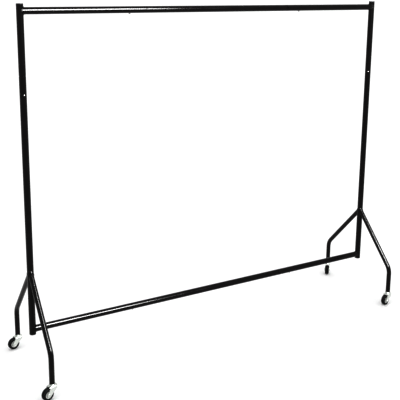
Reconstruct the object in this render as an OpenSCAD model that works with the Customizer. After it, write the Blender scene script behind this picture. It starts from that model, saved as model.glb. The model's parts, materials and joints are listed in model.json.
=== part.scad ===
// Knock-down garment rail: two A-shaped bases on swivel castors, two-piece posts, and a hanging
// rail and a lower bar that each come apart in three. Reduced tube ends slide into the next tube
// and are held by sprung snap buttons.
// +X runs along the rail to the right, +Y to the back, +Z up. The origin is on the floor under
// the middle of the rail.

/* [Overall] */
// Length across the two posts
overall_l = 1829; // [1450:1:2400]
// Height from the floor to the top of the posts' caps
overall_h = 1527; // [1250:1:1900]
// Distance between the front and the back foot of a base, axis to axis
foot_spread = 462; // [380:1:560]

/* [Tubes] */
// Outside diameter of the posts, rails and base tubes
tube_d = 28; // [25:0.5:34]
// Wall of the posts, rails and base tubes
tube_wall = 1.5; // [1.2:0.1:2]
// Outside diameter of the legs
leg_d = 22; // [20:0.5:25]
// Wall of the legs
leg_wall = 1.5; // [1.2:0.1:1.8]
// Radius of the bend in a leg, on its axis
leg_bend_r = 65; // [45:1:90]
// Lean of a leg's upper part from the vertical
leg_lean = 42; // [36:1:46]

/* [Heights] */
// Distance of the hanging rail's axis below the top of the caps
rail_drop = 28; // [24:1:80]
// Height of the lower bar's axis above the floor
bar_z = 191; // [188:1:260]
// Height of the underside of the base tubes' caps
base_z = 168; // [120:1:168]
// Height at which a post seats on its base tube
seat_z = 449; // [423:1:520]

/* [Tube joints] */
// Length of the hanging rail's middle section between its seams
middle_l = 736; // [500:1:900]
// Length of a corner post above its seam, cap included
corner_l = 279; // [200:1:400]
// Length of the reduced end of a rail or corner post
spigot_l = 110; // [95:1:140]
// Length of the reduced end of a base tube
base_spigot_l = 70; // [50:1:110]
// Length of the taper that leads to a reduced end
taper_l = 3; // [2:0.5:5]
// Clearance all round a reduced end in the tube that it slides into
slip = 0.1; // [0.05:0.01:0.1]

/* [Snap buttons] */
// Distance of a snap button from the seam
button_inset = 72; // [45:1:80]
// Diameter of a snap button
button_d = 8; // [6:0.5:9]
// Clearance all round a snap button in its holes
button_play = 0.2; // [0.1:0.05:0.4]
// Travel of a snap button, from standing proud to flush with the reduced end
button_travel = 5.5; // [5:0.1:6]
// Width of the spring strip that carries a snap button
clip_w = 9; // [8:0.5:10]
// Thickness of that strip
clip_t = 0.8; // [0.5:0.1:1]
// Length of that strip's straight arms
clip_l = 24; // [15:1:26]
// Turn of the left post's button about the post, from the front towards +X
left_button_turn = 0; // [-60:1:60]
// Turn of the right post's button about the post, from the front towards +X
right_button_turn = -35; // [-60:1:60]

/* [Caps and welds] */
// Thickness of a cap's flange
cap_t = 3; // [2:0.5:5]
// Rounding of a cap's edge
cap_round = 1.5; // [0.5:0.5:1.5]
// Length of a cap's plug inside the tube
plug_l = 16; // [10:1:25]
// Clearance all round a plug or a socket in its tube
plug_fit = 0.05; // [0.02:0.01:0.1]
// Wall of a cap's plug
plug_wall = 1.6; // [1.2:0.1:2.5]
// Throat of the weld beads
weld = 2; // [1.5:0.1:2.5]
// Bare tube between the legs' welds and the taper above them
weld_gap = 1.4; // [1:0.1:6]

/* [Castors] */
// Diameter of a wheel
wheel_d = 50; // [44:1:65]
// Width of a tyre
wheel_w = 19; // [15:0.5:22]
// Thickness of the tyre, from the hub's rim to the tread
tyre_t = 10; // [5:0.5:12]
// Clearance all round the hub's rim in the tyre
tyre_fit = 0.05; // [0.03:0.01:0.1]
// Rounding of the tyre's shoulders
tyre_round = 4; // [2:0.5:5]
// Half width of the hub's boss beyond the tyre, each side
boss_proud = 1.5; // [1:0.1:2]
// Distance of the axle behind the swivel axis
trail = 22; // [18:0.5:30]
// Thickness of the fork's sheet
fork_t = 2; // [1.5:0.1:2.5]
// Side play of the hub between the fork's cheeks
hub_play = 0.4; // [0.3:0.05:0.6]
// Clearance of the wheel under the fork's crown
wheel_gap = 3.5; // [1.5:0.1:5]
// Diameter of the axle
axle_d = 6; // [5:0.5:8]
// Running clearance all round the axle and the swivel neck
run_fit = 0.05; // [0.02:0.01:0.1]
// Diameter of the stem in its socket
stem_d = 11; // [9:0.5:12]
// Length of the stem above its collar
stem_l = 36; // [28:1:45]
// Diameter of the bearing balls
ball_d = 3.2; // [2.5:0.1:4]
// Radius of the ring of bearing balls
ball_ring_r = 9; // [8.5:0.1:10]
// Number of bearing balls in a castor
ball_n = 10; // [8:1:12]

/* [Castor directions] */
// Heading of the left front wheel from its stem, turned from +X towards +Y
left_front_turn = 197; // [0:1:359]
// Heading of the left back wheel
left_back_turn = 191; // [0:1:359]
// Heading of the right front wheel
right_front_turn = 194; // [0:1:359]
// Heading of the right back wheel
right_back_turn = 223; // [0:1:359]

/* [Hidden] */
$fn = 64;
eps = 0.5;

SIDES = [["left", -1], ["right", 1]];
ENDS = [["front", -1], ["back", 1]];
SIDE_PARTS = ["corner_post", "lower_post", "base_tube", "rail_stub", "bar_stub", "post_cap",
    "base_cap", "post_button", "rail_button", "bar_button", "rail_welds", "leg_welds"];
FOOT_PARTS = ["leg", "stem", "race", "balls", "fork", "axle", "hub", "tyre"];

PAINT = [0.035, 0.033, 0.035];
PLASTIC = [0.06, 0.06, 0.065];
ZINC = [0.78, 0.79, 0.8];
RUBBER = [0.04, 0.045, 0.045];
HUB_GREY = [0.72, 0.73, 0.72];

tube_r = tube_d / 2;
bore_r = tube_r - tube_wall;
spigot_r = bore_r - slip;
spigot_bore_r = spigot_r - tube_wall;
leg_r = leg_d / 2;
leg_bore_r = leg_r - leg_wall;

post_x = (overall_l - tube_d) / 2;
seam_x = middle_l / 2;
button_x = seam_x + button_inset;
rail_z = overall_h - rail_drop;
seam_z = overall_h - corner_l;
button_z = seam_z - button_inset;
foot_y = foot_spread / 2;
// The notched rail ends and the weld beads stop this far short of the post's axis.
cope_clear = 2;

// Castor levels, from the floor up
wheel_r = wheel_d / 2;
crown_z = wheel_d + wheel_gap;
crown_top = crown_z + fork_t;
ball_play = 0.2;
race_t = 1.6;
race_z = crown_top + ball_d + ball_play;
collar_z = race_z + race_t;
collar_t = 2.5;
collar_r = 9;
flange_z = collar_z + collar_t;
flange_t = 2;
leg_end_z = flange_z + flange_t;

// Fork, hub and race widths
cheek_in = wheel_w / 2 + boss_proud + hub_play;
cheek_out = cheek_in + fork_t;
neck_r = 4;
neck_head_r = 6;
neck_head_t = 1.6;
race_r = ball_ring_r + ball_d / 2 + 3;
race_skirt_t = 1.3;
race_lift = 0.4;
crown_r = cheek_out + 6;
lobe_r = axle_d / 2 + 6;
rim_r = wheel_r - tyre_t;
socket_roof = 3;

// The legs' welds stop short of the taper on which the post seats.
leg_reach = (leg_r + weld) / sin(leg_lean) - tube_r / tan(leg_lean);
root_z = seat_z - taper_l - weld_gap - leg_reach;
lean_run = foot_y - leg_bend_r * (1 - cos(leg_lean));
lean_l = lean_run / sin(leg_lean);
foot_l = root_z - leg_end_z - leg_bend_r * sin(leg_lean) - lean_l * cos(leg_lean);
// How much slimmer a leg's tube is in its bend, and how far its straights run into the bend
bend_draw = 0.02;
bend_lap = 0.8;

// ---- Tubes ----

// Outline of a tube from 0 to h with reduced ends of the lengths lo and hi, 0 for a plain end
function tube_edge(h, lo, hi) = concat(
    lo > 0 ? [[spigot_r, -lo], [spigot_r, 0], [tube_r, taper_l]] : [[tube_r, 0]],
    hi > 0 ? [[tube_r, h - taper_l], [spigot_r, h], [spigot_r, h + hi]] : [[tube_r, h]]);

module section_tube(h, lo = 0, hi = 0) {
    edge = tube_edge(h, lo, hi);
    rotate_extrude()
        polygon(concat(edge, [for (i = [len(edge) - 1:-1:0]) edge[i] - [tube_wall, 0]]));
}

// Drill through the lower wall of a rail, below its axis at the origin
module rail_drill() {
    rotate([180, 0, 0]) cylinder(r = button_d / 2 + button_play, h = tube_d);
}

// Place of a post's button: the origin on the post's axis, with the button's side towards -Y
module at_post_button(side) {
    translate([side * post_x, 0, button_z])
        rotate([0, 0, side < 0 ? left_button_turn : right_button_turn]) children();
}

// Drill through the wall of a post for its button
module post_drill(side) {
    at_post_button(side) rotate([90, 0, 0]) cylinder(r = button_d / 2 + button_play, h = tube_d);
}

module corner_post(side) {
    color(PAINT) difference() {
        translate([side * post_x, 0, seam_z]) section_tube(corner_l - cap_t, lo = spigot_l);
        post_drill(side);
    }
}

module lower_post(side) {
    color(PAINT) difference() {
        translate([side * post_x, 0, seat_z]) section_tube(seam_z - seat_z);
        post_drill(side);
    }
}

module base_tube(side) {
    foot = base_z + cap_t;
    color(PAINT) translate([side * post_x, 0, foot])
        section_tube(seat_z - foot, hi = base_spigot_l);
}

// End section of the hanging rail or of the lower bar, notched round its upright
module rail_end(side, z) {
    color(PAINT) translate([0, 0, z]) difference() {
        translate([side * seam_x, 0, 0]) rotate([0, side * 90, 0])
            section_tube(post_x - cope_clear - seam_x);
        translate([side * post_x, 0, 0]) cylinder(r = tube_r, h = 2 * tube_d, center = true);
        translate([side * button_x, 0, 0]) rail_drill();
    }
}

module rail_middle(z) {
    color(PAINT) translate([0, 0, z]) difference() {
        translate([-seam_x, 0, 0]) rotate([0, 90, 0])
            section_tube(middle_l, lo = spigot_l, hi = spigot_l);
        for (side = [-1, 1]) translate([side * button_x, 0, 0]) rail_drill();
    }
}

// ---- Legs ----

// A leg's path as a solid of radius r, from its foot at the origin up and over towards -Y as far
// as the upright's axis. The tube draws down a little in the bend, and its straights run into it.
module leg_path(r) {
    cylinder(r = r, h = foot_l + bend_lap);
    translate([0, -leg_bend_r, foot_l]) {
        rotate([90, 0, 90])
            rotate_extrude(angle = leg_lean) translate([leg_bend_r, 0]) circle(r = r - bend_draw);
        rotate([leg_lean, 0, 0]) translate([0, leg_bend_r, -bend_lap])
            cylinder(r = r, h = lean_l + bend_lap);
    }
}

module leg(side, end) {
    color(PAINT) difference() {
        translate([side * post_x, end * foot_y, leg_end_z]) rotate([0, 0, end > 0 ? 0 : 180])
            difference() {
                leg_path(leg_r);
                leg_path(leg_bore_r);
                translate([0, 0, -eps]) cylinder(r = leg_bore_r, h = 2 * eps);
            }
        translate([side * post_x, 0, base_z]) cylinder(r = tube_r, h = seat_z);
    }
}

// ---- Welds ----

// Bead where a rail end meets its upright: what lies within one throat of both tubes
module saddle_weld(side, z) {
    $fn = 144;
    translate([side * post_x, 0, z]) rotate([0, 0, side > 0 ? 180 : 0]) difference() {
        intersection() {
            translate([cope_clear, -tube_d, -tube_d]) cube([tube_d, 2 * tube_d, 2 * tube_d]);
            cylinder(r = tube_r + weld, h = 2 * tube_d, center = true);
            rotate([0, 90, 0]) cylinder(r = tube_r + weld, h = tube_d);
        }
        cylinder(r = tube_r, h = 3 * tube_d, center = true);
        rotate([0, 90, 0]) cylinder(r = tube_r, h = 2 * tube_d);
    }
}

// Bead where a leg meets its base tube
module leg_weld(side, end) {
    $fn = 144;
    translate([side * post_x, 0, root_z]) rotate([0, 0, end > 0 ? 0 : 180]) difference() {
        intersection() {
            translate([-tube_d, cope_clear, -2 * tube_d]) cube([2 * tube_d, tube_d, 3 * tube_d]);
            cylinder(r = tube_r + weld, h = 5 * tube_d, center = true);
            rotate([leg_lean - 180, 0, 0]) cylinder(r = leg_r + weld, h = 3 * tube_d);
        }
        cylinder(r = tube_r, h = 6 * tube_d, center = true);
        rotate([leg_lean - 180, 0, 0]) cylinder(r = leg_r, h = 4 * tube_d);
    }
}

module rail_welds(side) {
    color(PAINT) for (z = [bar_z, rail_z]) saddle_weld(side, z);
}

module leg_welds(side) {
    color(PAINT) for (end = [-1, 1]) leg_weld(side, end);
}

// ---- Caps and sockets ----

// Tube cap with its flange's outer face at z = 0 and its plug pointing to -Z
module tube_cap() {
    plug_r = bore_r - plug_fit;
    edge = [for (a = [90:-15:0]) cap_round * [cos(a) - 1, sin(a) - 1] + [tube_r, 0]];
    color(PLASTIC) rotate_extrude()
        polygon(concat([[0, 0]], edge, [[tube_r, -cap_t], [plug_r, -cap_t],
            [plug_r, -cap_t - plug_l], [plug_r - plug_wall, -cap_t - plug_l],
            [plug_r - plug_wall, -cap_t], [0, -cap_t]]));
}

module post_cap(side) {
    translate([side * post_x, 0, overall_h]) tube_cap();
}

module base_cap(side) {
    translate([side * post_x, 0, base_z]) rotate([180, 0, 0]) tube_cap();
}

// Plastic sleeve that holds a castor's stem in the leg's lower end
module leg_socket() {
    stem_bore_r = stem_d / 2 + run_fit;
    depth = flange_t + stem_l;
    color(PLASTIC) translate([0, 0, flange_z]) difference() {
        union() {
            cylinder(r = leg_r, h = flange_t);
            cylinder(r = leg_bore_r - plug_fit, h = depth + socket_roof);
        }
        translate([0, 0, -eps]) cylinder(r = stem_bore_r, h = depth + eps);
    }
}

module leg_sockets() {
    for (s = SIDES) for (e = ENDS) translate([s[1] * post_x, e[1] * foot_y, 0]) leg_socket();
}

// ---- Snap buttons ----

// Button on its folded spring strip, inside a tube that runs along X: the button points to -Z
module snap_button() {
    half_w = clip_w / 2;
    near = sqrt(spigot_bore_r * spigot_bore_r - half_w * half_w) - button_play;
    far = near - button_travel - button_play;
    fold_r = (near + far) / 2;
    tip = tube_r + button_travel - tube_wall;
    color(ZINC) {
        rotate([90, 0, 0]) translate([0, 0, -half_w]) linear_extrude(clip_w) {
            translate([-button_d, -near]) square([clip_l + button_d, clip_t]);
            translate([-button_d, far - clip_t]) square([clip_l + button_d, clip_t]);
            translate([clip_l, (far - near) / 2]) difference() {
                circle(r = fold_r);
                circle(r = fold_r - clip_t);
                translate([-2 * fold_r, -fold_r]) square([2 * fold_r, 2 * fold_r]);
            }
        }
        rotate([180, 0, 0]) translate([0, 0, near - clip_t]) {
            cylinder(d = button_d, h = tip - near + clip_t - button_d / 2);
            translate([0, 0, tip - near + clip_t - button_d / 2]) sphere(d = button_d);
        }
    }
}

module rail_button(side, z) {
    translate([side * button_x, 0, z]) rotate([0, 0, side > 0 ? 180 : 0]) snap_button();
}

module post_button(side) {
    at_post_button(side) rotate([-90, -90, 0]) snap_button();
}

// ---- Castors, each in its own frame: stem on Z, wheel towards +X ----

function castor_turn(side, end) = side < 0
    ? (end < 0 ? left_front_turn : left_back_turn)
    : (end < 0 ? right_front_turn : right_back_turn);

module at_foot(side, end) {
    translate([side * post_x, end * foot_y, 0]) rotate([0, 0, castor_turn(side, end)]) children();
}

module at_axle() {
    translate([trail, 0, wheel_r]) rotate([90, 0, 0]) children();
}

module stem() {
    head_z = crown_z - ball_play;
    tip_z = flange_z + stem_l;
    color(ZINC) rotate_extrude()
        polygon([[0, head_z - neck_head_t], [neck_head_r, head_z - neck_head_t],
            [neck_head_r, head_z], [neck_r, head_z], [neck_r, collar_z], [collar_r, collar_z],
            [collar_r, flange_z], [stem_d / 2, flange_z], [stem_d / 2, tip_z - 2],
            [stem_d / 2 - 2, tip_z], [0, tip_z]]);
}

module race() {
    color(ZINC) rotate_extrude()
        polygon([[neck_r + run_fit, race_z], [race_r - race_skirt_t, race_z],
            [race_r - race_skirt_t, crown_top + race_lift], [race_r, crown_top + race_lift],
            [race_r, collar_z - 1], [race_r - 1, collar_z], [neck_r + run_fit, collar_z]]);
}

module balls() {
    color(ZINC) for (i = [0:ball_n - 1]) rotate([0, 0, i * 360 / ball_n])
        translate([ball_ring_r, 0, crown_top + (ball_d + ball_play) / 2]) sphere(d = ball_d);
}

// Point where the tangent from p touches the circle round c, on the side given by turn = 1 or -1
function tangent_point(p, c, r, turn) =
    let (a = atan2(p[1] - c[1], p[0] - c[0]) + turn * acos(r / norm(p - c)))
    c + r * [cos(a), sin(a)];

// Side view of a cheek, from the crown down to the round lobe at the axle
module cheek_outline() {
    axle = [trail, wheel_r];
    knee_z = crown_z - 4;
    front = [-crown_r, knee_z];
    back = [trail - 4, knee_z];
    polygon([[-crown_r, crown_top + eps], front, tangent_point(front, axle, lobe_r, 1), axle,
        tangent_point(back, axle, lobe_r, -1), back, [trail - 4, crown_top + eps]]);
    translate(axle) circle(r = lobe_r);
}

// Front view of the folded sheet: an arch with rounded corners
module arch(half_w, top, r) {
    translate([-half_w, 0]) square([2 * half_w, top - r]);
    translate([-half_w + r, 0]) square([2 * (half_w - r), top]);
    for (s = [-1, 1]) translate([s * (half_w - r), top - r]) circle(r = r);
}

module fork() {
    bend_r = 2;
    color(ZINC) difference() {
        intersection() {
            rotate([90, 0, 90]) translate([0, 0, -crown_r]) linear_extrude(3 * crown_r + trail)
                difference() {
                    arch(cheek_out, crown_top, bend_r + fork_t);
                    translate([0, -eps]) arch(cheek_in, crown_z + eps, bend_r);
                }
            rotate([90, 0, 0]) translate([0, 0, -crown_r]) linear_extrude(2 * crown_r)
                cheek_outline();
            union() {
                cylinder(r = crown_r, h = 2 * crown_top);
                translate([0, -crown_r, 0]) cube([2 * trail + lobe_r, 2 * crown_r, 2 * crown_top]);
            }
        }
        translate([0, 0, crown_z - eps]) cylinder(r = neck_r + run_fit, h = fork_t + 2 * eps);
        at_axle() cylinder(d = axle_d, h = 4 * cheek_out, center = true);
    }
}

// Tubular rivet through the cheeks
module axle() {
    head_r = axle_d / 2 + 2.5;
    head_t = 1.6;
    color(ZINC) at_axle() difference() {
        union() {
            cylinder(d = axle_d, h = 2 * cheek_out, center = true);
            for (s = [0, 1]) mirror([0, 0, s]) translate([0, 0, cheek_out])
                cylinder(r1 = head_r, r2 = head_r - 0.8, h = head_t);
        }
        cylinder(d = axle_d - 2.4, h = 4 * cheek_out, center = true);
    }
}

module hub() {
    boss_r = axle_d / 2 + 4.5;
    boss_w = wheel_w / 2 + boss_proud;
    rim_w = wheel_w / 2 - 1;
    web_w = 3;
    rim_t = 3;
    color(HUB_GREY) at_axle() rotate_extrude()
        polygon([for (s = [1, -1]) each s > 0
            ? [[axle_d / 2 + run_fit, boss_w], [boss_r, boss_w], [boss_r, web_w],
                [rim_r - rim_t, web_w], [rim_r - rim_t, rim_w], [rim_r, rim_w]]
            : [[rim_r, -rim_w], [rim_r - rim_t, -rim_w], [rim_r - rim_t, -web_w],
                [boss_r, -web_w], [boss_r, -boss_w], [axle_d / 2 + run_fit, -boss_w]]]);
}

module tyre() {
    half_w = wheel_w / 2;
    core = wheel_r - tyre_round;
    inner_r = rim_r + tyre_fit;
    color(RUBBER) at_axle() rotate_extrude() {
        translate([inner_r, -half_w]) square([core - inner_r, wheel_w]);
        translate([inner_r, tyre_round - half_w]) square([wheel_r - inner_r, wheel_w - 2 * tyre_round]);
        for (s = [-1, 1]) translate([core, s * (half_w - tyre_round)]) circle(r = tyre_round);
    }
}

// ---- Assembly ----

rail_middle(rail_z);
rail_middle(bar_z);  // bar_middle
leg_sockets();

for (s = SIDES) {
    name = str(s[0], "_");
    side = s[1];
    corner_post(side);
    lower_post(side);
    base_tube(side);
    rail_end(side, rail_z);
    rail_end(side, bar_z);
    post_cap(side);
    base_cap(side);
    post_button(side);
    rail_button(side, rail_z);
    rail_button(side, bar_z);
    rail_welds(side);
    leg_welds(side);
}

for (s = SIDES) for (e = ENDS) {
    name = str(s[0], "_", e[0], "_");
    side = s[1];
    end = e[1];
    leg(side, end);
    at_foot(side, end) stem();
    at_foot(side, end) race();
    at_foot(side, end) balls();
    at_foot(side, end) fork();
    at_foot(side, end) axle();
    at_foot(side, end) hub();
    at_foot(side, end) tyre();
}
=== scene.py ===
"""A rolling garment rail in gloss black tube, dressed for a plain studio view."""
import json
import logging
import math
from collections.abc import Sequence
from dataclasses import dataclass
from enum import Enum

import bmesh
import bpy
from mathutils import Matrix, Vector


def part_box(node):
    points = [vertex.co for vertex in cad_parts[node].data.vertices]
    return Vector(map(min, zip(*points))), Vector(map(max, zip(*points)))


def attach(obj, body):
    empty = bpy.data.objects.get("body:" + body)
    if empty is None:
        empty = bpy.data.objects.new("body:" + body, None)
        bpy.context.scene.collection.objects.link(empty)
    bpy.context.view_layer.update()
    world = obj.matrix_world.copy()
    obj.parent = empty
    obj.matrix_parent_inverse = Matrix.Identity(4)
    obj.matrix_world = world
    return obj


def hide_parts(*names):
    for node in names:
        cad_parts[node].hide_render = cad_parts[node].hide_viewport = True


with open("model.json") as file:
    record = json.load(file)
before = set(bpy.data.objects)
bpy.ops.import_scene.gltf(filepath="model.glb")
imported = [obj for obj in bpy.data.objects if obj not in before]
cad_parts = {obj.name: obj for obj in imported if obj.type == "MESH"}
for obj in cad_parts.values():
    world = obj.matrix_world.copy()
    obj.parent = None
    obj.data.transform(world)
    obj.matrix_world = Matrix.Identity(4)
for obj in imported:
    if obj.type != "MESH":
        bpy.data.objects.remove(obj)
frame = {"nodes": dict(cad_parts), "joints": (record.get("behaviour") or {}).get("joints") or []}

log = logging.getLogger("garment_rail")
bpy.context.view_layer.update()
MM = 0.001
TOUCHING = 1e-7  # metres within which two points of a turned piece are one
WELD_WITHIN = 1e-6  # metres within which a CAD mesh's doubled points are joined

Colour = tuple[float, float, float]
Triple = tuple[float, float, float]
Profile = list[tuple[float, float]]


class Side(Enum):
    """The two ends of the rail, by the sign of X."""

    LEFT = -1
    RIGHT = 1

    @property
    def word(self) -> str:
        """The side's name, as the nodes carry it."""
        return self.name.lower()


class End(Enum):
    """The front and the back of a base, by the sign of Y."""

    FRONT = -1
    BACK = 1

    @property
    def word(self) -> str:
        """The end's name, as the nodes carry it."""
        return self.name.lower()


# ---- Finishes ----


class NodeGraph:
    """A new material's node tree, with short calls for the nodes that the finishes share."""

    def __init__(self, name: str) -> None:
        """Starts a material with one shader, placed by the coordinates of the object itself.

        Args:
            name: The material's name.
        """
        self.material = bpy.data.materials.new(name)
        self.material.use_nodes = True
        self.nodes = self.material.node_tree.nodes
        self.nodes.clear()
        self.shader = self.nodes.new("ShaderNodeBsdfPrincipled")
        out = self.nodes.new("ShaderNodeOutputMaterial")
        self.link(self.shader.outputs["BSDF"], out.inputs["Surface"])
        self.place = self.nodes.new("ShaderNodeTexCoord").outputs["Object"]

    def link(self, source: bpy.types.NodeSocket, target: bpy.types.NodeSocket) -> None:
        """Joins two sockets."""
        self.material.node_tree.links.new(source, target)

    def settle(self, **values: float | Colour) -> None:
        """Sets the shader's own even values.

        Args:
            values: The value for each socket, with underscores for the spaces in its name.
        """
        for key, value in values.items():
            socket = self.shader.inputs[key.replace("_", " ")]
            socket.default_value = (*value, 1) if isinstance(value, tuple) else value

    def stretched(self, stretch: Triple) -> bpy.types.NodeSocket:
        """The object's own coordinates, each multiplied by a factor.

        Args:
            stretch: The factor along X, Y and Z.

        Returns:
            The stretched coordinates.
        """
        mapping = self.nodes.new("ShaderNodeMapping")
        mapping.inputs["Scale"].default_value = stretch
        self.link(self.place, mapping.inputs["Vector"])
        return mapping.outputs["Vector"]

    def noise(self, scale: float, detail: float, stretch: Triple | None = None) -> bpy.types.NodeSocket:
        """Soft noise from 0 to 1.

        Args:
            scale: Cells to the metre.
            detail: Octaves.
            stretch: Factors on the coordinates, for a grain with a direction.

        Returns:
            The noise.
        """
        node = self.nodes.new("ShaderNodeTexNoise")
        node.inputs["Scale"].default_value = scale
        node.inputs["Detail"].default_value = detail
        self.link(self.stretched(stretch) if stretch else self.place, node.inputs["Vector"])
        return node.outputs["Fac"]

    def cells(self, scale: float) -> bpy.types.NodeSocket:
        """A random grey for each crystal-like cell.

        Args:
            scale: Cells to the metre.

        Returns:
            The grey, from 0 to 1.
        """
        node = self.nodes.new("ShaderNodeTexVoronoi")
        node.inputs["Scale"].default_value = scale
        self.link(self.place, node.inputs["Vector"])
        grey = self.nodes.new("ShaderNodeRGBToBW")
        self.link(node.outputs["Color"], grey.inputs["Color"])
        return grey.outputs["Val"]

    def spread(self, source: bpy.types.NodeSocket, start: float, stop: float, low: float,
               high: float) -> bpy.types.NodeSocket:
        """A value that goes smoothly from low to high while the source goes from start to stop.

        Args:
            source: The varying value.
            start: Source value that gives low.
            stop: Source value that gives high.
            low: First result.
            high: Last result.

        Returns:
            The value.
        """
        node = self.nodes.new("ShaderNodeMapRange")
        node.interpolation_type = "SMOOTHSTEP"
        self.link(source, node.inputs["Value"])
        for key, value in zip(("From Min", "From Max", "To Min", "To Max"), (start, stop, low, high)):
            node.inputs[key].default_value = value
        return node.outputs["Result"]

    def combine(self, how: str, one: bpy.types.NodeSocket,
                two: bpy.types.NodeSocket | float) -> bpy.types.NodeSocket:
        """A sum, product or other operation on two values.

        Args:
            how: The operation, in Blender's word for it.
            one: The first value.
            two: The second value, varying or even.

        Returns:
            The result.
        """
        node = self.nodes.new("ShaderNodeMath")
        node.operation = how
        self.link(one, node.inputs[0])
        if isinstance(two, float):
            node.inputs[1].default_value = two
        else:
            self.link(two, node.inputs[1])
        return node.outputs["Value"]

    def mix(self, share: bpy.types.NodeSocket, one: Colour | bpy.types.NodeSocket,
            two: Colour | bpy.types.NodeSocket) -> bpy.types.NodeSocket:
        """A colour between two others.

        Args:
            share: 0 for the first, 1 for the second.
            one: The first colour.
            two: The second colour.

        Returns:
            The colour.
        """
        node = self.nodes.new("ShaderNodeMix")
        node.data_type = "RGBA"
        self.link(share, node.inputs["Factor"])
        for key, value in (("A", one), ("B", two)):
            socket = next(s for s in node.inputs if s.name == key and s.type == "RGBA")
            if isinstance(value, tuple):
                socket.default_value = (*value, 1)
            else:
                self.link(value, socket)
        return next(s for s in node.outputs if s.type == "RGBA")

    def relief(self, height: bpy.types.NodeSocket, depth: float, strength: float,
               over: bpy.types.NodeSocket | None = None) -> bpy.types.NodeSocket:
        """A fine relief on the surface.

        Args:
            height: Height from 0 to 1.
            depth: Depth of the relief in metres.
            strength: Share of the relief that shows.
            over: A relief that lies under this one.

        Returns:
            The bent surface directions.
        """
        node = self.nodes.new("ShaderNodeBump")
        node.inputs["Strength"].default_value = strength
        node.inputs["Distance"].default_value = depth
        self.link(height, node.inputs["Height"])
        if over:
            self.link(over, node.inputs["Normal"])
        return node.outputs["Normal"]

    def band(self, axis: str, places: Sequence[float], reach: float) -> bpy.types.NodeSocket:
        """1 within a short way of any of some places along an axis, fading to 0.

        Args:
            axis: X, Y or Z.
            places: Places along it, in metres.
            reach: Half width of each band.

        Returns:
            The share, from 0 to 1.
        """
        split = self.nodes.new("ShaderNodeSeparateXYZ")
        self.link(self.place, split.inputs["Vector"])
        full = 0.2 * reach
        best = None
        for place in places:
            away = self.combine("ABSOLUTE", self.combine("SUBTRACT", split.outputs[axis], place), 0.0)
            near = self.spread(away, reach, full, 0.0, 1.0)
            best = self.combine("MAXIMUM", best, near) if best else near
        return best


@dataclass(frozen=True)
class Enamel:
    """Gloss black stoved enamel: a deep colour, an orange-peel skin, a little dust and rubbed bands."""

    deep: Colour = (0.0036, 0.0028, 0.0030)
    haze: Colour = (0.0070, 0.0056, 0.0060)
    bare: Colour = (0.17, 0.165, 0.16)
    gloss: tuple[float, float] = (0.12, 0.18)
    specular: float = 0.17
    dust_scale: float = 22.0
    gloss_scale: float = 9.0
    scratch_scale: float = 2600.0
    scratch_length: float = 0.12
    scratch_share: float = 0.8
    rubbed_reach: float = 4 * MM
    rubbed_rough: float = 0.42
    peel_scale: float = 300.0
    peel_depth: float = 0.012 * MM
    skin_scale: float = 2400.0
    skin_depth: float = 0.003 * MM
    relief_share: float = 0.3

    def make(self, name: str = "black_enamel", axis: str = "X",
             rubbed: Sequence[float] = ()) -> bpy.types.Material:
        """Builds the finish.

        Args:
            name: The material's name.
            axis: The tube's direction.
            rubbed: Places along it where sections slide together and wear the paint.

        Returns:
            The material.
        """
        g = NodeGraph(name)
        dust = g.spread(g.noise(self.dust_scale, 5.0), 0.42, 0.72, 0.0, 1.0)
        colour = g.mix(dust, self.deep, self.haze)
        rough = g.spread(g.noise(self.gloss_scale, 4.0), 0.35, 0.68, *self.gloss)
        if rubbed:
            along = tuple(self.scratch_length if axis == a else 1.0 for a in "XYZ")
            scratch = g.spread(g.noise(self.scratch_scale, 3.0, along), 0.58, 0.68, 0.0, self.scratch_share)
            worn = g.combine("MULTIPLY", scratch, g.band(axis, rubbed, self.rubbed_reach))
            colour = g.mix(worn, colour, self.bare)
            rough = g.combine("MAXIMUM", rough, g.spread(worn, 0.0, 1.0, 0.0, self.rubbed_rough))
            g.link(worn, g.shader.inputs["Metallic"])
        peel = g.relief(g.noise(self.peel_scale, 1.0), self.peel_depth, self.relief_share)
        skin = g.relief(g.noise(self.skin_scale, 2.0), self.skin_depth, self.relief_share, peel)
        g.link(colour, g.shader.inputs["Base Color"])
        g.link(rough, g.shader.inputs["Roughness"])
        g.link(skin, g.shader.inputs["Normal"])
        g.settle(Specular_IOR_Level=self.specular)
        return g.material


@dataclass(frozen=True)
class BrightMetal:
    """Zinc plate, or steel in other greys: a faint crystal pattern, drawing lines and dull patches."""

    light: Colour = (0.70, 0.72, 0.69)
    dull: Colour = (0.46, 0.48, 0.46)
    shine: tuple[float, float] = (0.20, 0.38)
    grain: Triple = (1.0, 1.0, 0.15)
    patch_scale: float = 160.0
    patch_share: float = 0.7
    crystal_scale: float = 900.0
    crystal_share: float = 0.35
    line_scale: float = 5200.0
    line_rough: float = 0.08
    line_depth: float = 0.02 * MM

    def make(self, name: str) -> bpy.types.Material:
        """Builds the finish.

        Args:
            name: The material's name.

        Returns:
            The material.
        """
        g = NodeGraph(name)
        patch = g.spread(g.noise(self.patch_scale, 4.0), 0.38, 0.66, 0.0, 1.0)
        crystal = g.spread(g.cells(self.crystal_scale), 0.0, 1.0, 0.0, self.crystal_share)
        colour = g.mix(g.combine("MULTIPLY", patch, self.patch_share), self.light, self.dull)
        colour = g.mix(crystal, colour, self.dull)
        lines = g.noise(self.line_scale, 2.0, self.grain)
        g.link(colour, g.shader.inputs["Base Color"])
        rough = g.spread(patch, 0.0, 1.0, *self.shine)
        g.link(g.combine("ADD", rough, g.combine("MULTIPLY", lines, self.line_rough)),
               g.shader.inputs["Roughness"])
        g.link(g.relief(lines, self.line_depth, 0.4), g.shader.inputs["Normal"])
        g.settle(Metallic=1.0)
        return g.material


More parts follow.
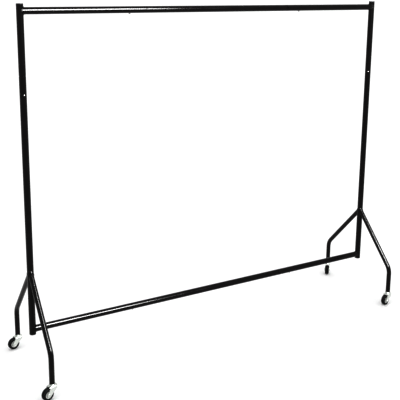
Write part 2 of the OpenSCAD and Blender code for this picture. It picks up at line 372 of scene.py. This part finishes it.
@dataclass(frozen=True)
class MouldedPlastic:
    """Moulded plastic with a spark-eroded skin, slight mottling and a little handling shine."""

    colour: Colour
    mottle: Colour
    rough: tuple[float, float] = (0.38, 0.55)
    specular: float = 0.45
    cloud_scale: float = 130.0
    shine_scale: float = 60.0
    skin_scale: float = 3800.0
    skin_depth: float = 0.03 * MM

    def make(self, name: str) -> bpy.types.Material:
        """Builds the finish.

        Args:
            name: The material's name.

        Returns:
            The material.
        """
        g = NodeGraph(name)
        cloud = g.spread(g.noise(self.cloud_scale, 4.0), 0.35, 0.7, 0.0, 1.0)
        g.link(g.mix(cloud, self.colour, self.mottle), g.shader.inputs["Base Color"])
        shine = g.spread(g.noise(self.shine_scale, 3.0), 0.3, 0.7, *self.rough)
        g.link(shine, g.shader.inputs["Roughness"])
        g.link(g.relief(g.noise(self.skin_scale, 2.0), self.skin_depth, 0.5), g.shader.inputs["Normal"])
        g.settle(Specular_IOR_Level=self.specular)
        return g.material


@dataclass(frozen=True)
class TyreRubber:
    """Black moulded rubber with fine pores and patches of floor dust."""

    colour: Colour = (0.0035, 0.0037, 0.0040)
    dust: Colour = (0.014, 0.0135, 0.0125)
    rough: tuple[float, float] = (0.58, 0.82)
    specular: float = 0.12
    dust_scale: float = 190.0
    dust_share: float = 0.75
    pore_scale: float = 4200.0
    pore_depth: float = 0.05 * MM

    def make(self, name: str) -> bpy.types.Material:
        """Builds the finish.

        Args:
            name: The material's name.

        Returns:
            The material.
        """
        g = NodeGraph(name)
        patches = g.spread(g.noise(self.dust_scale, 5.0), 0.46, 0.74, 0.0, self.dust_share)
        pores = g.noise(self.pore_scale, 3.0)
        g.link(g.mix(patches, self.colour, self.dust), g.shader.inputs["Base Color"])
        g.link(g.spread(pores, 0.3, 0.7, *self.rough), g.shader.inputs["Roughness"])
        g.link(g.relief(pores, self.pore_depth, 0.6), g.shader.inputs["Normal"])
        g.settle(Specular_IOR_Level=self.specular)
        return g.material


@dataclass(frozen=True)
class Finishes:
    """Every finish of the rail, built once and shared by the pieces."""

    enamel: bpy.types.Material
    cap: bpy.types.Material
    button: bpy.types.Material
    castor: bpy.types.Material
    steel: bpy.types.Material
    hub: bpy.types.Material
    rubber: bpy.types.Material

    @classmethod
    def make(cls) -> "Finishes":
        """Builds them all.

        Returns:
            The set.
        """
        black = MouldedPlastic(colour=(0.008, 0.008, 0.009), mottle=(0.013, 0.013, 0.014))
        grey = MouldedPlastic(colour=(0.68, 0.69, 0.67), mottle=(0.60, 0.61, 0.59), rough=(0.34, 0.5))
        spring = BrightMetal(light=(0.27, 0.262, 0.262), dull=(0.16, 0.155, 0.155), shine=(0.16, 0.30))
        bearing = BrightMetal(light=(0.60, 0.60, 0.60), dull=(0.42, 0.40, 0.37), shine=(0.10, 0.2))
        return cls(
            enamel=Enamel().make(),
            cap=black.make("black_cap_plastic"),
            button=spring.make("button_steel"),
            castor=BrightMetal().make("castor_zinc"),
            steel=bearing.make("ball_steel"),
            hub=grey.make("grey_hub_plastic"),
            rubber=TyreRubber().make("tyre_rubber"))


# ---- Meshes ----


def finished_piece(name: str, mesh: bmesh.types.BMesh, material: bpy.types.Material,
                   smooth_below: float = 35.0) -> bpy.types.Object:
    """Turns a mesh in the rail's own frame into a shaded object.

    Args:
        name: The piece's name.
        mesh: Its geometry, which is freed.
        material: Its finish.
        smooth_below: Edges flatter than this many degrees shade smoothly.

    Returns:
        The new object.
    """
    bmesh.ops.recalc_face_normals(mesh, faces=mesh.faces)
    for face in mesh.faces:
        face.smooth = True
    for edge in mesh.edges:
        edge.smooth = edge.calc_face_angle(0.0) < math.radians(smooth_below)
    data = bpy.data.meshes.new(name)
    mesh.to_mesh(data)
    mesh.free()
    data.materials.append(material)
    piece = bpy.data.objects.new(name, data)
    bpy.context.scene.collection.objects.link(piece)
    return piece


def skin_rings(mesh: bmesh.types.BMesh, rings: Sequence[Sequence[Vector]]) -> None:
    """Joins rings of points into a tube of quads that closes on itself.

    Args:
        mesh: The mesh to add to.
        rings: Rings with equal numbers of points. The last joins the first.
    """
    made = [[mesh.verts.new(p) for p in ring] for ring in rings]
    count = len(made[0])
    for here, there in zip(made, made[1:] + made[:1]):
        for i in range(count):
            j = (i + 1) % count
            mesh.faces.new((here[i], here[j], there[j], there[i]))


def lathe(profile: Profile, place: Matrix, segments: int = 96) -> bmesh.types.BMesh:
    """Turns a closed profile round the local Z axis.

    Args:
        profile: Radius and height of each point, in order round the section.
        place: Where the turned piece's frame lies.
        segments: Steps round the turn.

    Returns:
        The closed mesh. Points on the axis are joined into one.
    """
    mesh = bmesh.new()
    rings = []
    for step in range(segments):
        a = math.tau * step / segments
        rings.append([place @ Vector((r * math.cos(a), r * math.sin(a), z)) for r, z in profile])
    skin_rings(mesh, rings)
    bmesh.ops.remove_doubles(mesh, verts=mesh.verts, dist=TOUCHING)
    return mesh


def arc(centre: tuple[float, float], radius: float, start: float, stop: float, steps: int) -> Profile:
    """Points along an arc in a profile.

    Args:
        centre: Radius and height of its centre.
        radius: Its radius.
        start: First angle in degrees, from the radius towards the height.
        stop: Last angle.
        steps: Number of chords.

    Returns:
        The points, both ends included.
    """
    angles = (math.radians(start + (stop - start) * i / steps) for i in range(steps + 1))
    return [(centre[0] + radius * math.cos(a), centre[1] + radius * math.sin(a)) for a in angles]


def dress(node: str, material: bpy.types.Material, soften: float = 0.0, sharp_above: float = 40.0) -> None:
    """Gives a CAD node its finish, and optionally breaks its sharp edges.

    Args:
        node: The node's name.
        material: Its finish.
        soften: Width of the broken edges in metres, 0 for none.
        sharp_above: Edges sharper than this many degrees are broken.
    """
    piece = frame["nodes"][node]
    piece.data.materials.clear()
    piece.data.materials.append(material)
    if soften:
        weld = piece.modifiers.new("weld", "WELD")
        weld.merge_threshold = WELD_WITHIN
        bevel = piece.modifiers.new("broken_edges", "BEVEL")
        bevel.width = soften
        bevel.segments = 2
        bevel.angle_limit = math.radians(sharp_above)
        bevel.harden_normals = True


def install(piece: bpy.types.Object, body: str, node: str) -> None:
    """Puts a new piece in place of a CAD node, on its body.

    Args:
        piece: The new piece.
        body: The body that it moves with.
        node: The CAD node that it stands for.
    """
    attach(piece, body)
    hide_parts(node)


# ---- Tubes ----


@dataclass
class TubeWork:
    """The posts, rails, base tubes and legs, with the paint rubbed where their sections meet."""

    finishes: Finishes

    def seams(self) -> dict[str, tuple[float, ...]]:
        """Where the sections of the rails and the posts meet.

        Returns:
            The places along X for the rails and along Z for the posts.
        """
        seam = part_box("right_rail_stub")[0].x
        low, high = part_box("left_lower_post")
        return {"X": (-seam, seam), "Z": (low.z, high.z)}

    def build(self) -> int:
        """Dresses every tube.

        Returns:
            The number of nodes dressed.
        """
        seams = self.seams()
        rail = Enamel().make("rail_enamel", "X", seams["X"])
        post = Enamel().make("post_enamel", "Z", seams["Z"])
        work = [("rail_middle", rail), ("bar_middle", rail)]
        work += [(f"{side.word}_{part}", rail) for part in ("rail_stub", "bar_stub") for side in Side]
        for side in Side:
            work += [(f"{side.word}_{part}", post) for part in ("corner_post", "lower_post", "base_tube")]
            work += [(f"{side.word}_{end.word}_leg", self.finishes.enamel) for end in End]
        for node, finish in work:
            dress(node, finish)
        return len(work)


@dataclass
class WeldBead:
    """A bead laid by hand along the line where two tubes meet, with its ripples, under the paint."""

    throat: float
    ripple: float = 2.6 * MM
    ripple_depth: float = 0.13
    around: int = 14

    def lay(self, mesh: bmesh.types.BMesh, line: Sequence[Vector]) -> None:
        """Sweeps the rippled section round a closed line.

        Args:
            mesh: The mesh to add the bead to.
            line: Points of the seam, evenly enough spaced to carry the ripples.
        """
        count = len(line)
        run, rings = 0.0, []
        for i, here in enumerate(line):
            before, after = line[i - 1], line[(i + 1) % count]
            along = (after - before).normalized()
            out = along.orthogonal().normalized() if i == 0 else (out - out.dot(along) * along).normalized()
            third = along.cross(out)
            run += (here - before).length if i else 0.0
            swell = 1 + self.ripple_depth * abs(math.sin(math.pi * run / self.ripple))
            radius = self.throat * swell
            rings.append([here + radius * (math.cos(a) * out + math.sin(a) * third)
                          for a in (math.tau * k / self.around for k in range(self.around))])
        skin_rings(mesh, rings)


@dataclass
class CornerWelds:
    """The beads that hold a rail's end and the tie bar's end to one post and its base tube."""

    side: Side
    finishes: Finishes
    tube_r: float = 14 * MM
    throat: float = 1.7 * MM
    sink: float = 0.7 * MM
    lift: float = 0.3  # share of the sink by which the line stands off the level tube
    turn_off: float = 2 * MM  # how far the line stays from the post's axis at the tube's sides
    steps: int = 260

    def seam(self, centre: Vector) -> list[Vector]:
        """The line where the level tube's end meets the upright.

        Args:
            centre: Where the two axes cross.

        Returns:
            Points round the line, just outside the two tubes' corner.
        """
        inward = -self.side.value
        points = []
        for i in range(self.steps):
            a = math.tau * i / self.steps
            reach = math.hypot(self.tube_r * math.cos(a), self.turn_off) + self.sink
            r = self.tube_r + self.sink * self.lift
            points.append(centre + Vector((inward * reach, r * math.sin(a), r * math.cos(a))))
        return points

    def build(self) -> bpy.types.Object:
        """Lays both beads as one piece.

        Returns:
            The piece.
        """
        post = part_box(f"{self.side.word}_lower_post")
        x = (post[0].x + post[1].x) / 2
        mesh = bmesh.new()
        for node in (f"{self.side.word}_rail_stub", f"{self.side.word}_bar_stub"):
            low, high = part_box(node)
            WeldBead(self.throat).lay(mesh, self.seam(Vector((x, 0, (low.z + high.z) / 2))))
        piece = finished_piece(f"{self.side.word}_corner_beads", mesh, self.finishes.enamel)
        install(piece, "frame", f"{self.side.word}_rail_welds")
        return piece


@dataclass
class LegWelds:
    """The beads that hold the two legs of one base to its base tube.

    The tubes' radii, the lean and the gap are the design's own.
    """

    side: Side
    finishes: Finishes
    tube_r: float = 14 * MM
    leg_r: float = 11 * MM
    lean: float = math.radians(42)
    gap: float = 4.4 * MM
    design_throat: float = 2.0 * MM  # the CAD bead's, which sets the gap above the legs
    throat: float = 1.8 * MM
    sink: float = 0.5 * MM
    steps: int = 230

    def root_height(self) -> float:
        """Height at which a leg's axis crosses the base tube's.

        Returns:
            The height in metres.
        """
        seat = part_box(f"{self.side.word}_lower_post")[0].z
        reach = (self.leg_r + self.design_throat) / math.sin(self.lean) - self.tube_r / math.tan(self.lean)
        return seat - self.gap - reach

    def seam(self, x: float, end: End) -> list[Vector]:
        """The line where a leg's end meets the base tube.

        Args:
            x: The base tube's place along the rail.
            end: Which leg.

        Returns:
            Points round the line.
        """
        root = self.root_height()
        r, big = self.leg_r + self.sink, self.tube_r + self.sink
        points = []
        for i in range(self.steps):
            a = math.tau * i / self.steps
            across, above = r * math.cos(a), r * math.sin(a)
            out = math.sqrt(max(big * big - across * across, 0.0))
            run = (out - above * math.cos(self.lean)) / math.sin(self.lean)
            height = above * math.sin(self.lean) - run * math.cos(self.lean)
            points.append(Vector((x + across, end.value * out, root + height)))
        return points

    def build(self) -> bpy.types.Object:
        """Lays both beads as one piece.

        Returns:
            The piece.
        """
        low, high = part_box(f"{self.side.word}_base_tube")
        mesh = bmesh.new()
        for end in End:
            WeldBead(self.throat).lay(mesh, self.seam((low.x + high.x) / 2, end))
        piece = finished_piece(f"{self.side.word}_leg_beads", mesh, self.finishes.enamel)
        install(piece, "frame", f"{self.side.word}_leg_welds")
        return piece


# ---- Caps ----


@dataclass
class TubeCap:
    """A push-in cap: a slightly dished flange with a rolled rim and a moulding gate, on a ribbed plug."""

    node: str
    upward: bool
    finishes: Finishes
    radius: float = 14 * MM
    flange: float = 3 * MM
    rim: float = 1.2 * MM
    recess: float = 0.35 * MM
    dish_foot: float = 4 * MM  # from the outer edge in to the flat of the dish
    dish_top: float = 3.2 * MM  # from the outer edge in to the top of the dish's wall
    shoulder: float = 0.1 * MM
    gate_r: float = 1.1 * MM
    gate_foot_r: float = 1.5 * MM
    gate_depth: float = 0.25 * MM
    under_r: float = 0.3 * MM
    plug_r: float = 12.42 * MM
    plug_wall: float = 1.6 * MM
    plug_l: float = 16 * MM
    lead_in: float = 0.5 * MM
    ribs: int = 3
    rib: float = 0.06 * MM
    rib_reach: float = 0.8 * MM

    def profile(self) -> Profile:
        """The cap's section, from the middle of its face round to the inside of its plug.

        Returns:
            Radius and height of each point, with the flange's top at height 0.
        """
        gate = [(0.0, -self.gate_depth), (self.gate_r, -self.gate_depth), (self.gate_foot_r, -self.recess)]
        dish = [(self.radius - self.dish_foot, -self.recess), (self.radius - self.dish_top, -self.shoulder)]
        edge = arc((self.radius - self.rim, -self.rim), self.rim, 90, 0, 8)
        skirt = [(self.radius, self.under_r - self.flange)]
        under = arc((self.radius - self.under_r, self.under_r - self.flange), self.under_r, 0, -90, 3)
        plug = [(self.plug_r, -self.flange)]
        valley = self.plug_r - self.rib
        for k in range(1, self.ribs + 1):
            z = -self.flange - k * self.plug_l / (self.ribs + 1)
            plug += [(valley, z + self.rib_reach), (self.plug_r, z), (valley, z - self.rib_reach)]
        inner = self.plug_r - self.plug_wall
        end = -self.flange - self.plug_l
        inside = [(self.plug_r - self.lead_in, end), (inner, end), (inner, -self.flange),
                  (0.0, -self.flange)]
        return gate + dish + edge + skirt + under + plug + inside

    def build(self) -> bpy.types.Object:
        """Turns the cap and seats it on its tube.

        Returns:
            The piece.
        """
        low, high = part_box(self.node)
        centre = Vector(((low.x + high.x) / 2, (low.y + high.y) / 2, high.z if self.upward else low.z))
        turn = Matrix.Identity(4) if self.upward else Matrix.Rotation(math.pi, 4, "X")
        mesh = lathe(self.profile(), Matrix.Translation(centre) @ turn)
        piece = finished_piece(f"{self.node}_moulded", mesh, self.finishes.cap)
        install(piece, "frame", self.node)
        return piece


# ---- Castors ----


@dataclass(frozen=True)
class CastorAxes:
    """Where one castor's wheel sits: its middle, the direction of its axle and the way that it heads."""

    name: str
    axle: Vector
    spin: Vector
    heading: Vector

    @classmethod
    def read(cls, name: str) -> "CastorAxes":
        """Takes the axes from the joints.

        Args:
            name: The foot's name, such as left_front.

        Returns:
            The axes.
        """
        joints = {j["name"]: j for j in frame["joints"]}
        swivel, roll = joints[f"{name}_swivel_turn"], joints[f"{name}_wheel_roll"]
        axle, stem = Vector(roll["pos_m"]), Vector(swivel["pos_m"])
        heading = Vector((axle.x - stem.x, axle.y - stem.y, 0)).normalized()
        return cls(name, axle, Vector(roll["axis"]).normalized(), heading)

    def wheel_frame(self) -> Matrix:
        """The frame whose Z is the axle, with its origin in the middle of the wheel.

        Returns:
            The frame.
        """
        across = self.spin.cross(self.heading)
        turn = Matrix((self.heading, across, self.spin)).transposed().to_4x4()
        return Matrix.Translation(self.axle) @ turn


@dataclass
class Tyre:
    """A moulded tyre: a tread with a parting ridge and two grooves, round shoulders and ringed walls."""

    rim_r: float
    radius: float = 25 * MM
    half_w: float = 9.5 * MM
    shoulder: float = 4 * MM
    groove: float = 0.45 * MM
    groove_at: float = 2.6 * MM
    groove_mouth: float = 0.5 * MM
    groove_foot: float = 0.25 * MM
    parting: float = 0.12 * MM
    parting_w: float = 0.35 * MM
    dip: float = 0.35 * MM
    dip_mouth: float = 0.6 * MM
    dip_foot: float = 0.9 * MM
    ring_foot: float = 1.6 * MM
    ring_top: float = 1.3 * MM
    edge: float = 0.3 * MM
    steps: int = 128

    def half(self) -> Profile:
        """One half of the section, from the middle of the tread to the rim.

        Returns:
            Radius and distance from the wheel's middle plane of each point.
        """
        r, w, s = self.radius, self.half_w, self.shoulder
        flat, floor = r - self.parting, r - self.groove
        tread = [(r, 0.0), (flat, self.parting_w), (flat, self.groove_at - self.groove_mouth),
                 (floor, self.groove_at - self.groove_foot), (floor, self.groove_at + self.groove_foot),
                 (flat, self.groove_at + self.groove_mouth)]
        shoulder = arc((flat - s, w - s), s, 0, 90, 12)
        wall = [(r - s - self.dip_mouth, w), (r - s - self.dip_foot, w - self.dip),
                (self.rim_r + self.ring_foot, w - self.dip), (self.rim_r + self.ring_top, w),
                (self.rim_r + self.edge, w), (self.rim_r, w - self.edge)]
        return tread + shoulder + wall

    def profile(self) -> Profile:
        """The whole section."""
        half = self.half()
        return half + [(r, -z) for r, z in reversed(half[1:])]

    def build(self, axes: CastorAxes, finishes: Finishes) -> bpy.types.Object:
        """Turns the tyre on its axle.

        Args:
            axes: The castor's axes.
            finishes: The shared finishes.

        Returns:
            The piece.
        """
        mesh = lathe(self.profile(), axes.wheel_frame(), self.steps)
        piece = finished_piece(f"{axes.name}_tyre_moulded", mesh, finishes.rubber)
        install(piece, f"{axes.name}_wheel", f"{axes.name}_tyre")
        return piece


@dataclass
class Hub:
    """A moulded hub: a boss and a rim joined by a thin web, stiffened by ribs on both faces."""

    rim_r: float
    bore_r: float = 3.05 * MM
    boss_r: float = 7.5 * MM
    boss_w: float = 11 * MM
    rim_t: float = 3 * MM
    rim_w: float = 8.5 * MM
    web_w: float = 2.2 * MM
    rib_w: float = 7.2 * MM
    rib_t: float = 1.6 * MM
    ribs: int = 6
    fillet: float = 0.7 * MM
    corner: float = 0.3 * MM
    corner_drop: float = 0.25 * MM
    corner_reach: float = 0.1 * MM
    draft: float = 0.15 * MM
    rim_corner: float = 0.4 * MM
    rim_fit: float = 0.05 * MM
    web_steps: int = 10
    flank_shares: tuple[float, ...] = (0.5, 0.38, 0.27, 0.19, 0.14, 0.11, 0.088, 0.068, 0.05, 0.034, 0.018)
    smooth_below: float = 30.0

    @property
    def lip(self) -> float:
        """Radius of the rim's inner face."""
        return self.rim_r - self.rim_t

    def radii(self) -> list[float]:
        """Radii of the face's rings, crowded where its height changes.

        Returns:
            The radii, from the bore outwards.
        """
        boss = [self.bore_r, self.bore_r + self.corner, self.boss_r - self.corner, self.boss_r,
                self.boss_r + self.draft]
        inner, outer = self.boss_r + self.fillet, self.lip - self.fillet
        web = [inner + (outer - inner) * i / self.web_steps for i in range(self.web_steps + 1)]
        rim = [self.lip - self.draft, self.lip, self.lip + self.corner, self.rim_r - self.rim_corner,
               self.rim_r - self.rim_fit]
        return boss + web + rim

    def height(self, r: float, angle: float) -> float:
        """Height of the face above the wheel's middle plane.

        Args:
            r: Radius.
            angle: Angle round the axle.

        Returns:
            The height in metres.
        """
        if r <= self.boss_r:
            at_corner = min(r - self.bore_r, self.boss_r - r) < self.corner_reach
            return self.boss_w - (self.corner_drop if at_corner else 0.0)
        if r >= self.lip:
            at_corner = min(r - self.lip, self.rim_r - r) < self.corner_reach
            return self.rim_w - (self.corner_drop if at_corner else 0.0)
        pitch = math.tau / self.ribs
        off = abs((angle + pitch / 2) % pitch - pitch / 2) * r
        share = min(max((off - self.rib_t / 2) / self.fillet + 0.5, 0.0), 1.0)
        return self.rib_w - (self.rib_w - self.web_w) * share * share * (3 - 2 * share)

    def angles(self) -> list[float]:
        """Angles round the axle, crowded at the ribs' flanks.

        Returns:
            The angles in radians, once round.
        """
        pitch = math.tau / self.ribs
        before = [-s for s in self.flank_shares]
        after = list(reversed(self.flank_shares[1:]))
        return [pitch * (k + s) for k in range(self.ribs) for s in before + [0.0] + after]

    def build(self, axes: CastorAxes, finishes: Finishes) -> bpy.types.Object:
        """Shapes both faces and the cylinders that join them.

        Args:
            axes: The castor's axes.
            finishes: The shared finishes.

        Returns:
            The piece.
        """
        place = axes.wheel_frame()
        radii = self.radii()
        rings = []
        for a in self.angles():
            face = [(r, self.height(r, a)) for r in radii]
            section = face + [(r, -h) for r, h in reversed(face)]
            rings.append([place @ Vector((r * math.cos(a), r * math.sin(a), h)) for r, h in section])
        mesh = bmesh.new()
        skin_rings(mesh, rings)
        piece = finished_piece(f"{axes.name}_hub_moulded", mesh, finishes.hub, self.smooth_below)
        install(piece, f"{axes.name}_wheel", f"{axes.name}_hub")
        return piece


@dataclass
class Castor:
    """A swivel castor: its plated metalwork as designed, and a moulded hub and tyre."""

    name: str
    finishes: Finishes
    tyre_fit: float = 0.05 * MM
    broken_edges: tuple[tuple[str, float], ...] = (
        ("fork", 0.35 * MM), ("race", 0.3 * MM), ("stem", 0.25 * MM), ("axle", 0.2 * MM))

    def build(self) -> list[str]:
        """Builds the wheel and dresses the metalwork.

        Returns:
            The names of the pieces that belong to it.
        """
        axes = CastorAxes.read(self.name)
        low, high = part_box(f"{self.name}_hub")
        rim_r = (high.z - low.z) / 2
        made = [Tyre(rim_r + self.tyre_fit).build(axes, self.finishes).name,
                Hub(rim_r).build(axes, self.finishes).name]
        for part, soften in self.broken_edges:
            dress(f"{self.name}_{part}", self.finishes.castor, soften)
            made.append(f"{self.name}_{part}")
        dress(f"{self.name}_balls", self.finishes.steel)
        return made + [f"{self.name}_balls"]


# ---- Studio ----


@dataclass
class SoftBox:
    """A rectangular lamp that shows only in glossy surfaces."""

    name: str
    place: Triple
    aim: Triple
    size: tuple[float, float]
    power: float
    spread: float = 180.0

    def build(self) -> bpy.types.Object:
        """Hangs the lamp and points it.

        Returns:
            The lamp.
        """
        data = bpy.data.lights.new(self.name, "AREA")
        data.shape = "RECTANGLE"
        data.size, data.size_y = self.size
        data.energy = self.power
        data.spread = math.radians(self.spread)
        lamp = bpy.data.objects.new(self.name, data)
        lamp.location = self.place
        lamp.rotation_euler = (Vector(self.aim) - Vector(self.place)).to_track_quat("-Z", "Y").to_euler()
        lamp.visible_camera = False
        lamp.visible_diffuse = False
        bpy.context.scene.collection.objects.link(lamp)
        return lamp


@dataclass
class Studio:
    """The pale floor, the soft lamps and the camera."""

    floor_r: float = 260.0
    floor_colour: Colour = (0.96, 0.96, 0.96)
    floor_mottle: float = 0.985
    sky: float = 1.18
    contrast: float = 0.7
    leg_beam: float = 16.0
    stand: Triple = (-1.7001, -2.6759, 1.5759)
    heading: float = 29.124
    dip: float = 11.453
    roll: float = 0.19
    lens: float = 63.57
    sensor: float = 36.0
    shift: tuple[float, float] = (0.0550, -0.1655)

    def floor(self) -> bpy.types.Object:
        """Lays the floor as one wide disc.

        Returns:
            The floor.
        """
        mesh = bmesh.new()
        bmesh.ops.create_circle(mesh, cap_ends=True, segments=96, radius=self.floor_r)
        g = NodeGraph("pale_floor")
        cloud = g.spread(g.noise(1.5, 3.0), 0.3, 0.7, 0.0, 1.0)
        darker = tuple(self.floor_mottle * c for c in self.floor_colour)
        g.link(g.mix(cloud, self.floor_colour, darker), g.shader.inputs["Base Color"])
        g.settle(Roughness=0.95, Specular_IOR_Level=0.1)
        piece = finished_piece("floor", mesh, g.material)
        piece.visible_glossy = False
        return piece

    def lights(self) -> None:
        """Hangs the lamps and sets the even light from all round."""
        boxes = (
            SoftBox("rail_light", place=(0.42, -2.5, 2.5), aim=(-0.45, 0.0, 1.0), size=(1.3, 1.3),
                    power=620.0),
            SoftBox("left_leg_light", place=(-0.19, -1.30, 2.18), aim=(-0.9, -0.16, 0.30),
                    size=(0.5, 0.4), power=0.60, spread=self.leg_beam),
            SoftBox("right_leg_light", place=(0.76, -1.51, 2.17), aim=(0.9, -0.16, 0.30),
                    size=(0.5, 0.4), power=0.42, spread=self.leg_beam))
        for box in boxes:
            box.build()
        world = bpy.data.worlds.new("studio")
        world.use_nodes = True
        background = world.node_tree.nodes["Background"]
        background.inputs["Color"].default_value = (1, 1, 1, 1)
        background.inputs["Strength"].default_value = self.sky
        bpy.context.scene.world = world

    def camera(self) -> bpy.types.Object:
        """Sets up the camera and makes it the scene's own.

        Returns:
            The camera.
        """
        heading, dip, roll = (math.radians(a) for a in (self.heading, self.dip, self.roll))
        ahead = Vector((math.sin(heading) * math.cos(dip), math.cos(heading) * math.cos(dip),
                        -math.sin(dip)))
        level = Vector((math.cos(heading), -math.sin(heading), 0))
        above = level.cross(ahead)
        right = level * math.cos(roll) + above * math.sin(roll)
        up = above * math.cos(roll) - level * math.sin(roll)
        data = bpy.data.cameras.new("camera")
        data.lens = self.lens
        data.sensor_width = self.sensor
        data.shift_x, data.shift_y = self.shift
        camera = bpy.data.objects.new("camera", data)
        turn = Matrix((right, up, -ahead)).transposed().to_4x4()
        camera.matrix_world = Matrix.Translation(self.stand) @ turn
        bpy.context.scene.collection.objects.link(camera)
        bpy.context.scene.camera = camera
        return camera

    def build(self) -> None:
        """Builds the whole studio and sets the picture's contrast."""
        self.floor()
        self.lights()
        self.camera()
        view = bpy.context.scene.view_settings
        view.view_transform = "Standard"
        view.gamma = self.contrast


def main() -> None:
    """Builds the rail from its frame outwards, then the studio."""
    logging.basicConfig(level=logging.INFO, format="%(message)s")
    finishes = Finishes.make()
    log.info("tubes dressed: %d", TubeWork(finishes).build())
    for side in Side:
        log.info("built %s", CornerWelds(side, finishes).build().name)
        log.info("built %s", LegWelds(side, finishes).build().name)
        log.info("built %s", TubeCap(f"{side.word}_post_cap", True, finishes).build().name)
        log.info("built %s", TubeCap(f"{side.word}_base_cap", False, finishes).build().name)
        for part in ("post_button", "rail_button", "bar_button"):
            dress(f"{side.word}_{part}", finishes.button)
            log.info("button %s_%s", side.word, part)
        for end in End:
            log.info("castor %s", ", ".join(Castor(f"{side.word}_{end.word}", finishes).build()))
    dress("leg_sockets", finishes.cap)
    log.info("sockets leg_sockets")
    Studio().build()


if __name__ == "__main__":
    main()
